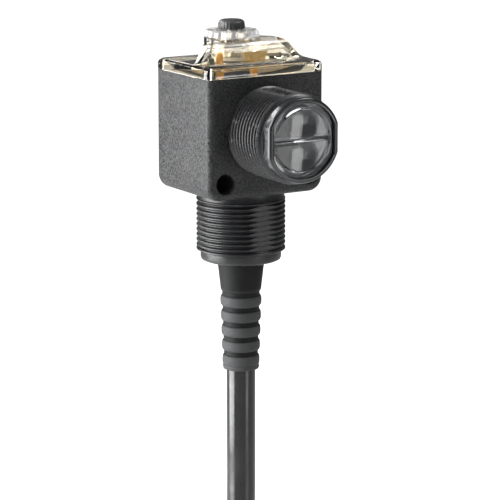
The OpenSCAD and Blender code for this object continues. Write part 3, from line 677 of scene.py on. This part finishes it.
FINISH = {
    "housing": plastic("spark_textured_housing", (0.0205, 0.0208, 0.0217), 0.5, grain=1500,
                       bump=0.5, tone=0.5, wear_and_highlight=0.3, dust=0.04, specular=0.24,
                       height=0.00007, spread=0.2, mottle=0.75, cloud=0.12),
    # Thread crests: the unbroken edge mask (even 1.0) paints a highlight along every crest in the
    # light colour.
    "barrel": plastic("moulded_thread_black", (0.009, 0.0093, 0.0102), 0.38, grain=1400,
                      bump=0.08, tone=0.2, wear_and_highlight=0.5, specular=0.42, even=1.0,
                      worn_and_highlight_colour=(0.05, 0.052, 0.056)),
    # Lens thread crests: the unbroken edge mask (even 1.0) paints a bright highlight along every
    # crest.
    "lens_barrel": plastic("moulded_lens_thread", (0.006, 0.0062, 0.007), 0.3, grain=1400,
                           bump=0.03, tone=0.1, wear_and_highlight=0.8, specular=0.6, even=1.0,
                           worn_and_highlight_colour=(0.12, 0.123, 0.13)),
    "cover": clear("clear_amber_tinted_cover", (1.0, 0.94, 0.81), 1.58, 0.015, 0.05, 0.06),
    "selector": clear("frosted_selector", (0.97, 0.965, 0.96), 1.49, 0.16, 0.2, 0.1, 400.0, 0.8),
    "lens": clear("clear_lens", (0.93, 0.95, 0.97), 1.49, 0.01, 0.02, 0.01),
    "lens_ring": plastic("polished_lens_ring", (0.011, 0.0115, 0.013), 0.16, grain=900,
                         bump=0.06, tone=0.15, wear_and_highlight=0.2, specular=0.5),
    "seal": plastic("matt_rubber_seal", (0.018, 0.018, 0.018), 0.65, grain=1800, bump=0.2),
    "gasket": plastic("amber_silicone_gasket", (0.8, 0.5, 0.17), 0.35, grain=900, bump=0.1,
                      tone=0.12),
    "white_plastic": plastic("white_acetal", (0.78, 0.77, 0.74), 0.4, bump=0.1, tone=0.05),
    "plated": plastic("nickel_plate", (0.72, 0.71, 0.69), 0.24, grain=3000, bump=0.05,
                      tone=0.06, metal=1.0),
    "knob": plastic("black_knob", (0.02, 0.0205, 0.022), 0.42, grain=2600, bump=0.3,
                    tone=0.25, wear_and_highlight=0.4, dust=0.15, specular=0.5),
    "brass": plastic("brass_wiper", (0.78, 0.58, 0.26), 0.3, bump=0.05, tone=0.08, metal=1.0),
    "pot_blue": plastic("dark_blue_pot_body", (0.022, 0.035, 0.075), 0.4, bump=0.1, tone=0.1),
    "chip_black": plastic("black_chip", (0.02, 0.02, 0.022), 0.5, grain=2800, bump=0.2),
    "board": board_finish("tan_board"),
    "led_green": plastic("dark_green_lamp", (0.03, 0.05, 0.02), 0.12, bump=0.02, tone=0.1,
                         coat=0.6),
    "led_amber": plastic("amber_lamp", (0.82, 0.42, 0.05), 0.15, bump=0.02, tone=0.08,
                         coat=0.6),
    "amber_guide": plastic("amber_light_guide", (0.86, 0.58, 0.2), 0.22, grain=700, bump=0.3,
                           tone=0.25, coat=0.5),
    "holder": plastic("matt_black_holder", (0.035, 0.036, 0.038), 0.5, bump=0.15),
    "emitter": clear("clear_emitter", (0.75, 0.82, 0.95), 1.5, 0.03),
    "receiver": plastic("dark_receiver", (0.02, 0.008, 0.025), 0.15, bump=0.02, coat=0.5),
    "relay": plastic("blue_relay", (0.025, 0.09, 0.36), 0.42, bump=0.1, tone=0.1),
    "capacitor": plastic("sleeved_capacitor", (0.025, 0.03, 0.1), 0.25, bump=0.05, tone=0.1),
    "film_yellow": plastic("yellow_film_capacitor", (0.82, 0.6, 0.1), 0.3, bump=0.1, tone=0.1),
    "terminal": plastic("dark_terminal", (0.03, 0.085, 0.055), 0.45, bump=0.1),
    "retainer": plastic("grey_retainer", (0.05, 0.05, 0.055), 0.45, bump=0.1),
    "relief": boot_finish("vinyl_strain_relief"),
    "cable_jacket": plastic("cable_vinyl", (0.004, 0.0042, 0.0047), 0.18, grain=260,
                            bump=0.12, tone=0.12, dust=0.05, specular=0.6, height=0.0002),
    "tie": plastic("black_tie", (0.025, 0.025, 0.027), 0.4, grain=2200, bump=0.15),
    "tinned": plastic("tinned_copper", (0.72, 0.7, 0.66), 0.3, grain=3000, bump=0.2,
                      tone=0.1, metal=1.0),
    "insulation_brown": plastic("brown_insulation", (0.16, 0.055, 0.02), 0.35, bump=0.06),
    "insulation_blue": plastic("blue_insulation", (0.025, 0.1, 0.42), 0.35, bump=0.06),
    "insulation_white": plastic("white_insulation", (0.78, 0.77, 0.74), 0.35, bump=0.06,
                                tone=0.05),
    "insulation_black": plastic("black_insulation", (0.02, 0.02, 0.021), 0.35, bump=0.06),
    "insulation_yellow": plastic("yellow_insulation", (0.78, 0.58, 0.04), 0.35, bump=0.06,
                                 tone=0.1),
}


def dress(piece, slot, body="housing", *replaced, look=None):
    """Gives a finished piece the finish of its slot or look, hangs it on its body and hides the
    CAD nodes it stands for.
    """
    finish = FINISH[look or slot]
    if piece.data.materials:
        piece.data.materials[0] = finish
    else:
        piece.data.materials.append(finish)
    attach(piece, body)
    if replaced:
        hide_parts(*replaced)
    return piece


THREADS, FLUTES, RIBS, STRANDS = thread_tree(), flute_tree(), rib_tree(), strand_tree()


# ---------------------------------------------------------------- housing
def make_housing():
    outline = rounded(-BODY_W / 2, BODY_W / 2, 0, BODY_H + 4,
                      (0, 0, BOTTOM_R, BOTTOM_R), 10)
    bm = prism(outline, -BODY_FRONT, BODY_BACK, "y")

    def on_ends(edge):
        ys = [v.co.y / MM for v in edge.verts]
        zs = [v.co.z / MM for v in edge.verts]
        return abs(ys[0] - ys[1]) < 1e-4 and min(zs) < BODY_H + 3.9
    bevel_where(bm, on_ends, EDGE_R, 6)
    block = from_bmesh("housing_shell", bm)
    side, front, back = BODY_W / 2 - WALL, BODY_FRONT - WALL, BODY_BACK - WALL
    cutters = [
        from_bmesh("cut_top", prism(rounded(-40, 40, -40, 40, (0,) * 4), BODY_H, 60, "z")),
        from_bmesh("cut_inside", prism(rounded(-side, side, -front, back, (1,) * 4, 4), 11.5,
                                       50, "z")),
        from_bmesh("cut_well", prism(rounded(-11.9, 11.9, -front, back, (0,) * 4), 2.5, 12,
                                     "z")),
        from_bmesh("cut_base", turned([(0, -5), (BASE_BORE, -5), (BASE_BORE, 4), (0, 4)],
                                      96)),
        from_bmesh("cut_lens", turned([(0, 8), (LENS_BORE, 8), (LENS_BORE, 20), (0, 20)], 96,
                                      (0, 0, LENS_Z), "lens")),
    ]
    r, lip = HOLE_D / 2, 0.45
    for s in (-1, 1):
        profile = [(0, -BODY_BACK - 1), (r + lip + 1, -BODY_BACK - 1), (r, -BODY_BACK + lip),
                   (r, BODY_FRONT - lip), (r + lip + 1, BODY_FRONT + 1), (0, BODY_FRONT + 1)]
        cutters.append(from_bmesh("cut_hole", turned(
            profile, 64, (s * HOLE_PITCH / 2, 0, HOLE_Z), "lens")))
    loop = (WALL - 1) / 2
    outer = prism(rounded(-BODY_W / 2 + loop, BODY_W / 2 - loop, -BODY_FRONT + loop,
                          BODY_BACK - loop, (EDGE_R - loop,) * 4, 6), BODY_H - 0.8, 44, "z")
    groove = from_bmesh("cut_groove", outer)
    inner = from_bmesh("keep_wall", prism(rounded(
        -side - loop, side + loop, -front - loop, back + loop, (0.8,) * 4, 6), 30, 50, "z"))
    cut(groove, [inner])
    cutters.append(groove)
    cut(block, cutters)
    soften(block.data, 30)
    return block


def barrel(name, profile, start, stop, at, facing):
    """A turned barrel with its thread, drawn on its own axis and then put in place."""
    rows = []
    for (r0, z0), (r1, z1) in zip(profile, profile[1:] + profile[:1]):
        rows.append((r0, z0))
        if abs(r0 - THREAD_R) < 1e-6 and abs(r1 - THREAD_R) < 1e-6 and abs(z1 - z0) > 5:
            rows += [(r0, z0 + (z1 - z0) * k / THREAD_ROWS) for k in range(1, THREAD_ROWS)]
    piece = from_bmesh(name, turned(rows, THREAD_SEGMENTS))
    piece = run_tree(piece, THREADS, {
        "Radius": THREAD_R * MM, "Depth": THREAD_DEPTH * MM, "Pitch": PITCH * MM,
        "From": start * MM, "To": stop * MM, "Flat": FLAT * MM, "Finish": FINISH["barrel"]})
    for vert in piece.data.vertices:
        vert.co = place(*(vert.co / MM), at, facing)
    face_outwards(piece, 50)
    return piece


def make_barrels():
    base = barrel("base_barrel", [
        (BASE_BORE, -0.8), (14.6, -0.8), (14.6, 2.35), (14.75, 2.6), (THREAD_R, 2.7),
        (THREAD_R, 20.0), (14.3, 20.44), (13.6, 20.5), (13.6, 22.84), (13.35, 23.44),
        (12.7, 23.74), (7.25, 23.74), (7.25, 21.24), (BASE_BORE, 21.24)],
        2.72, 19.95, (0, 0, 0), "down")
    lens = barrel("lens_barrel", [
        (LENS_BORE, BODY_FRONT - 0.8), (THREAD_R, BODY_FRONT - 0.8), (THREAD_R, 34.7),
        (14.2, LENS_END - 0.35), (13.9, LENS_END), (LENS_BORE, LENS_END)],
        BODY_FRONT + 0.05, 34.6, (0, 0, LENS_Z), "lens")
    return base, lens


block = make_housing()
base_barrel, lens_barrel = make_barrels()
dress(block, "housing", "housing", "housing")
dress(base_barrel, "housing", look="barrel")
dress(lens_barrel, "housing", look="lens_barrel")


# ---------------------------------------------------------------- top cover
def make_cover():
    """The clear cover, with every sharp moulded edge softened."""
    bm = bmesh.new()
    bm.from_mesh(NODES["top_cover"].data)
    bmesh.ops.remove_doubles(bm, verts=bm.verts, dist=2e-6)
    bmesh.ops.dissolve_limit(bm, angle_limit=math.radians(0.6), verts=bm.verts,
                             edges=bm.edges)
    cover = from_bmesh("clear_cover", bm)
    edges = cover.modifiers.new("edges", "BEVEL")
    edges.limit_method, edges.angle_limit = "ANGLE", math.radians(28)
    edges.width, edges.segments = 0.35 * MM, 3
    edges.use_clamp_overlap = True
    cover = freeze(cover)
    soften(cover.data, 40)
    return cover


dress(make_cover(), "cover", "housing", "top_cover")


# ---------------------------------------------------------------- lens end
def double_d(radius, half, count=192):
    outline = []
    for k in range(count):
        turn = 2 * math.pi * k / count
        x, z = radius * math.cos(turn), radius * math.sin(turn)
        outline.append((max(-half, min(half, x)), z))
    return outline


def lofted(name, sections):
    """Closed skin through (radius, flat, depth) sections of the lens end's outline."""
    bm = bmesh.new()
    loops = []
    for radius, half, depth in sections:
        loops.append([bm.verts.new(place(x, z, depth, (0, 0, LENS_Z), "lens"))
                      for x, z in double_d(radius, half)])
    for a, b in zip(loops, loops[1:] + loops[:1]):
        for k in range(len(a)):
            j = (k + 1) % len(a)
            bm.faces.new((a[k], a[j], b[j], b[k]))
    bmesh.ops.recalc_face_normals(bm, faces=bm.faces)
    return from_bmesh(name, bm, 40)


def make_ring():
    r, half, edge = 14.0, 13.15, 0.9
    sections = [(r, half, LENS_END + 0.02)]
    for k in range(7):
        turn = math.radians(90 * k / 6)
        sections.append((r - edge * (1 - math.cos(turn)), half - edge * (1 - math.cos(turn)),
                         RING_FRONT - edge + edge * math.sin(turn)))
    sections += [
        (r - 1.35, half - 1.5, RING_FRONT - 0.04), (r - 1.5, half - 1.7, RING_FRONT - 0.2),
        (r - 1.55, half - 1.75, RING_FRONT - 1.0), (r - 1.55, half - 1.75, 36.4),
        (11.0, 10.65, 36.4), (11.0, 10.65, 33.1), (12.1, 12.1, 33.1), (12.1, 12.1, 35.5),
        (r - 0.3, half, LENS_END + 0.02)]
    return lofted("lens_ring_piece", sections)


def lens_depths(x, z):
    """Front and rear depth of the window: a round pair of shallow lenses and a valley."""
    v = abs(z)
    dome = (x * x + (v - 5.9) ** 2) / (2 * 60.0)
    rim = min(1.0, max(0.0, math.hypot(x, v) - 10.1) / 0.75)
    valley = max(0.0, 1.0 - v / 0.75) * (1 - rim)
    front = (RING_FRONT - 0.3 - dome * (1 - rim) - 0.95 * rim * rim * (3 - 2 * rim)
             - 0.5 * valley ** 2)
    reach = (x * x + (v - 5.5) ** 2) / 6.6 ** 2
    rear = 36.75 - 0.7 * max(0.0, 1.0 - reach) ** 2
    return front, rear


def make_lens():
    radius, half, columns = 12.2, 11.2, 110
    rows = ([-12.19 + 11.39 * k / 44 for k in range(44)] + [-0.8 + 1.6 * k / 20 for k in range(21)]
            + [0.8 + 11.39 * k / 44 for k in range(1, 45)])
    bm = bmesh.new()
    skins = ([], [])
    for z in rows:
        reach = min(half, math.sqrt(radius ** 2 - z ** 2))
        for skin in skins:
            skin.append([])
        for j in range(columns + 1):
            x = reach * (2 * j / columns - 1)
            for skin, depth in zip(skins, lens_depths(x, z)):
                skin[-1].append(bm.verts.new(place(x, z, depth, (0, 0, LENS_Z), "lens")))
    rims = []
    for skin in skins:
        for a, b in zip(skin, skin[1:]):
            for j in range(columns):
                bm.faces.new((a[j], a[j + 1], b[j + 1], b[j]))
        rims.append(skin[0] + [row[-1] for row in skin[1:]] + skin[-1][-2::-1]
                    + [row[0] for row in skin[-2:0:-1]])
    for k in range(len(rims[0])):
        j = (k + 1) % len(rims[0])
        bm.faces.new((rims[0][k], rims[0][j], rims[1][j], rims[1][k]))
    bmesh.ops.recalc_face_normals(bm, faces=bm.faces)
    return from_bmesh("lens_window", bm, 50)


dress(make_ring(), "lens_ring", "housing", "lens_ring")
dress(make_lens(), "lens", "housing", "lens")


# ---------------------------------------------------------------- controls
def on_axis(profile, segments, count, depth, sharpness, wall, finish, name):
    """A turned control with flutes, put on the controls' axis."""
    piece = from_bmesh(name, turned(profile, segments))
    piece = run_tree(piece, FLUTES, {"Count": count, "Depth": depth * MM,
                                     "Sharpness": sharpness, "Wall": wall * MM,
                                     "Finish": FINISH[finish]})
    for vert in piece.data.vertices:
        vert.co += Vector((0, CTRL_Y * MM, 0))
    soften(piece.data, 40)
    return piece


def make_selector():
    """Clear fluted disc with its hollow hub down through the cover."""
    return on_axis([
        (1.92, 43.42), (4.88, 43.42), (4.88, 44.6), (5.43, 44.62), (5.43, 48.05),
        (4.6, 48.12), (4.6, 49.1), (5.43, 49.16), (5.43, 50.96), (9.1, 51.0), (9.38, 51.12),
        (9.4, 51.3), (9.28, 51.9), (9.12, 52.4), (8.98, 52.78), (8.8, 53.02), (8.5, 53.18),
        (8.2, 53.2), (7.6, 53.14), (6.9, 53.0), (6.2, 53.0), (5.9, 53.14), (5.4, 53.2),
        (2.85, 53.2), (2.7, 53.1), (2.66, 51.92), (1.92, 51.9)],
        480, 20, 0.5, 3.0, 8.3, "selector", "selector_disc")


def make_knob():
    """Black knob with a fine grip, a rounded top and a screwdriver slot."""
    r = 4.55
    knob = on_axis([
        (1.52, 53.5), (4.1, 53.5), (r - 0.06, 53.56), (r, 53.75), (r - 0.04, 54.5),
        (r - 0.1, 55.2), (r - 0.22, 55.65), (r - 0.45, 56.05), (r - 0.8, 56.34),
        (r - 1.3, 56.53), (r - 1.9, 56.6), (1.2, 56.6), (0, 56.6), (0, 55.62), (1.52, 55.6)],
        360, 24, 0.17, 1.6, 4.2, "knob", "grip_knob")
    slot_cut = from_bmesh("cut_slot", prism(rounded(-0.4, 0.4, 0.5, 11, (0,) * 4), 56.1, 58,
                                            "z"))
    cut(knob, [slot_cut])
    soften(knob.data, 40)
    return knob


dress(make_selector(), "selector", "selector", "selector_ring")
dress(make_knob(), "knob", "sensitivity", "sensitivity_knob")


# ---------------------------------------------------------------- strain relief and leads
def make_boot():
    """Flexible sleeve: a plain waist, then five full ribs with deep grooves."""
    first, step = -38.0, 5.16
    core = from_bmesh("boot_core", turned([
        (4.97, -19.24), (9.55, -19.24), (9.55, -21.2), (7.12, -21.24), (7.12, -23.7),
        (7.6, -23.78), (7.9, -23.95), (7.95, -24.3), (7.6, -27.5), (7.2, -31), (6.95, -33.2),
        (6.86, -34.1), (6.7, -34.45), (6.38, -34.75), (6.32, -36.5), (5.68, -59.2),
        (6.02, -60.1), (6.2, -60.8), (6.17, -61.4), (6.0, -61.75), (5.8, -61.84),
        (4.97, -61.84)], 120))
    swell = []
    for k in range(21):
        t = 2 * k / 20 - 1
        swell.append((6.2 + 0.78 * (1 - abs(t) ** 3) ** 0.5, -1.86 * t))
    rib = from_bmesh("boot_ribs", turned([(4.98, 1.86)] + swell + [(4.98, -1.86)], 120))
    rib = run_tree(rib, RIBS, {"Count": 5, "Step": step * MM, "Taper": 0.0234,
                               "Finish": FINISH["relief"]})
    for vert in rib.data.vertices:
        vert.co.z += first * MM
    return join("strain_relief_boot", [core, rib])


dress(make_boot(), "relief", "housing", "strain_relief")

LEAD_NAMES = ("brown", "blue", "white", "black", "yellow")
tail_end = Vector(TAIL[-1])
tail_dir = (tail_end - Vector(TAIL[-2])).normalized()
side_u = tail_dir.cross(Vector((0, 1, 0))).normalized()
side_v = tail_dir.cross(side_u)


def lead_point(number, t):
    """A point of one core's free end, which spreads from the jacket and droops."""
    turn = math.radians(72 * number + 18)
    out = 2.7 * (math.cos(turn) * side_u + math.sin(turn) * side_v)
    return (tail_end + out * (1 + 1.1 * t * t)
            + 25 * ((t - t * t / 2) * tail_dir + Vector((0, 0, -t * t / 2))))


def make_strand(name, points, radius, finish):
    mesh = bpy.data.meshes.new(name)
    mesh.from_pydata([p * MM for p in points], [(k, k + 1) for k in range(len(points) - 1)],
                     [])
    piece = link(name, mesh)
    piece = run_tree(piece, STRANDS, {"Radius": radius * MM, "Sides": 20,
                                      "Finish": FINISH[finish]})
    face_outwards(piece, 50)
    return piece


for number, colour in enumerate(LEAD_NAMES):
    line = [lead_point(number, 0) - 0.4 * tail_dir] + [
        lead_point(number, k / 16) for k in range(17)]
    lead = make_strand("lead_wire_" + colour, line, 0.98, "insulation_" + colour)
    dress(lead, "insulation_" + colour, "housing", "lead_" + colour)

dress(cable, "cable_jacket", "housing", "cable", "cable_coil")


# ---------------------------------------------------------------- carried-over CAD nodes
KEPT = {"seal": ("lens_seal", "selector_seal", "knob_seal"), "gasket": ("cover_gasket",),
        "white_plastic": ("selector_rotor",), "plated": ("selector_magnet", "knob_shaft"),
        "brass": ("pot_wiper",), "pot_blue": ("pot_body",),
        "chip_black": ("selector_switch", "optics_link", "regulator", "board_link"),
        "board": ("control_board", "optics_board", "power_board"),
        "led_green": ("power_led",), "led_amber": ("margin_led", "output_led"),
        "amber_guide": ("light_guide",), "holder": ("optics_holder",),
        "emitter": ("emitter_led",), "receiver": ("receiver_diode",), "relay": ("relay",),
        "capacitor": ("smoothing_capacitor",), "film_yellow": ("film_capacitor",),
        "terminal": ("terminal_block",), "retainer": ("relief_retainer",),
        "cable_jacket": ("cable_root",), "tie": ("coil_ties",), "tinned": ("lead_tips",)}
for colour in LEAD_NAMES:
    KEPT["insulation_" + colour] = ("inner_lead_" + colour,)
for finish, names in KEPT.items():
    for name in names:
        piece = NODES[name]
        if not piece.material_slots:
            piece.data.materials.append(FINISH[finish])
        for slot_used in piece.material_slots:
            slot_used.material = FINISH[finish]


# ---------------------------------------------------------------- stage and light
def seen_share(tree, through=1.0):
    """One where the camera looks, the given share through clear pieces, else zero."""
    path = tree.nodes.new("ShaderNodeLightPath")
    share = tree.nodes.new("ShaderNodeMath")
    share.operation = "MULTIPLY"
    tree.links.new(path.outputs["Is Transmission Ray"], share.inputs[0])
    share.inputs[1].default_value = through
    seen = tree.nodes.new("ShaderNodeMath")
    seen.operation = "MAXIMUM"
    tree.links.new(path.outputs["Is Camera Ray"], seen.inputs[0])
    tree.links.new(share.outputs[0], seen.inputs[1])
    return seen.outputs[0]


def make_floor():
    """Pale floor that looks evenly white and throws a softer light on the sensor."""
    level = cad_box[0].z - 0.001
    bm = bmesh.new()
    bmesh.ops.create_circle(bm, cap_ends=True, segments=96, radius=9.0)
    for vert in bm.verts:
        vert.co.z = level
    floor = from_bmesh("pale_floor", bm)
    material, tree, bsdf = shader("pale_floor")
    bsdf.inputs["Base Color"].default_value = (0.85, 0.85, 0.85, 1)
    bsdf.inputs["Roughness"].default_value = 0.9
    tree.links.new(ramp(tree, seen_share(tree), 0.15, 1.0), bsdf.inputs["Emission Strength"])
    bsdf.inputs["Emission Color"].default_value = (1, 1, 1, 1)
    below = tree.nodes.new("ShaderNodeNewGeometry").outputs["Backfacing"]
    tree.links.new(ramp(tree, below, 1.0, 0.0), bsdf.inputs["Alpha"])
    floor.data.materials.append(material)


def make_world():
    """Bright behind the sensor, dim where it only lights or reflects."""
    world = bpy.data.worlds.new("studio")
    bpy.context.scene.world = world
    world.use_nodes = True
    tree = world.node_tree
    back = tree.nodes["Background"]
    back.inputs["Color"].default_value = (0.96, 0.98, 1.0, 1)
    tree.links.new(ramp(tree, seen_share(tree, 0.52), 0.17, 1.0), back.inputs["Strength"])


def soft_box(name, azimuth, elevation, distance, width, height, power, aim=(0, 0, 0.01)):
    """A flat light panel that looks at the sensor."""
    a, e = math.radians(azimuth), math.radians(elevation)
    data = bpy.data.lights.new(name, "AREA")
    data.shape = "RECTANGLE"
    data.size, data.size_y, data.energy = width, height, power
    lamp = link(name, data)
    out = Vector((math.sin(a) * math.cos(e), -math.cos(a) * math.cos(e), math.sin(e)))
    lamp.location = Vector(aim) + out * distance
    lamp.visible_camera = False
    lamp.rotation_mode = "QUATERNION"
    lamp.rotation_quaternion = (-out).to_track_quat("-Z", "Y")


make_floor()
make_world()
soft_box("key_left", -113, 0, 0.6, 0.55, 0.84, 16.5, (0, 0, 0.15))
soft_box("weak_front_right", 19, 0, 0.6, 0.23, 0.27, 0.42, (0, -0.038, -0.135))
soft_box("strip_front_right", 27.5, 0, 0.58, 0.085, 0.153, 0.18, (0, -0.038, -0.096))
soft_box("top_panel", 45, 54, 0.8, 0.7, 0.5, 1.2)
soft_box("top_small", 60, 51, 0.78, 0.3, 0.26, 2.2)
soft_box("top_left", -60, 60, 0.9, 0.4, 0.4, 1.0)
soft_box("back_left", -163, 30, 0.9, 0.4, 0.3, 4.0)
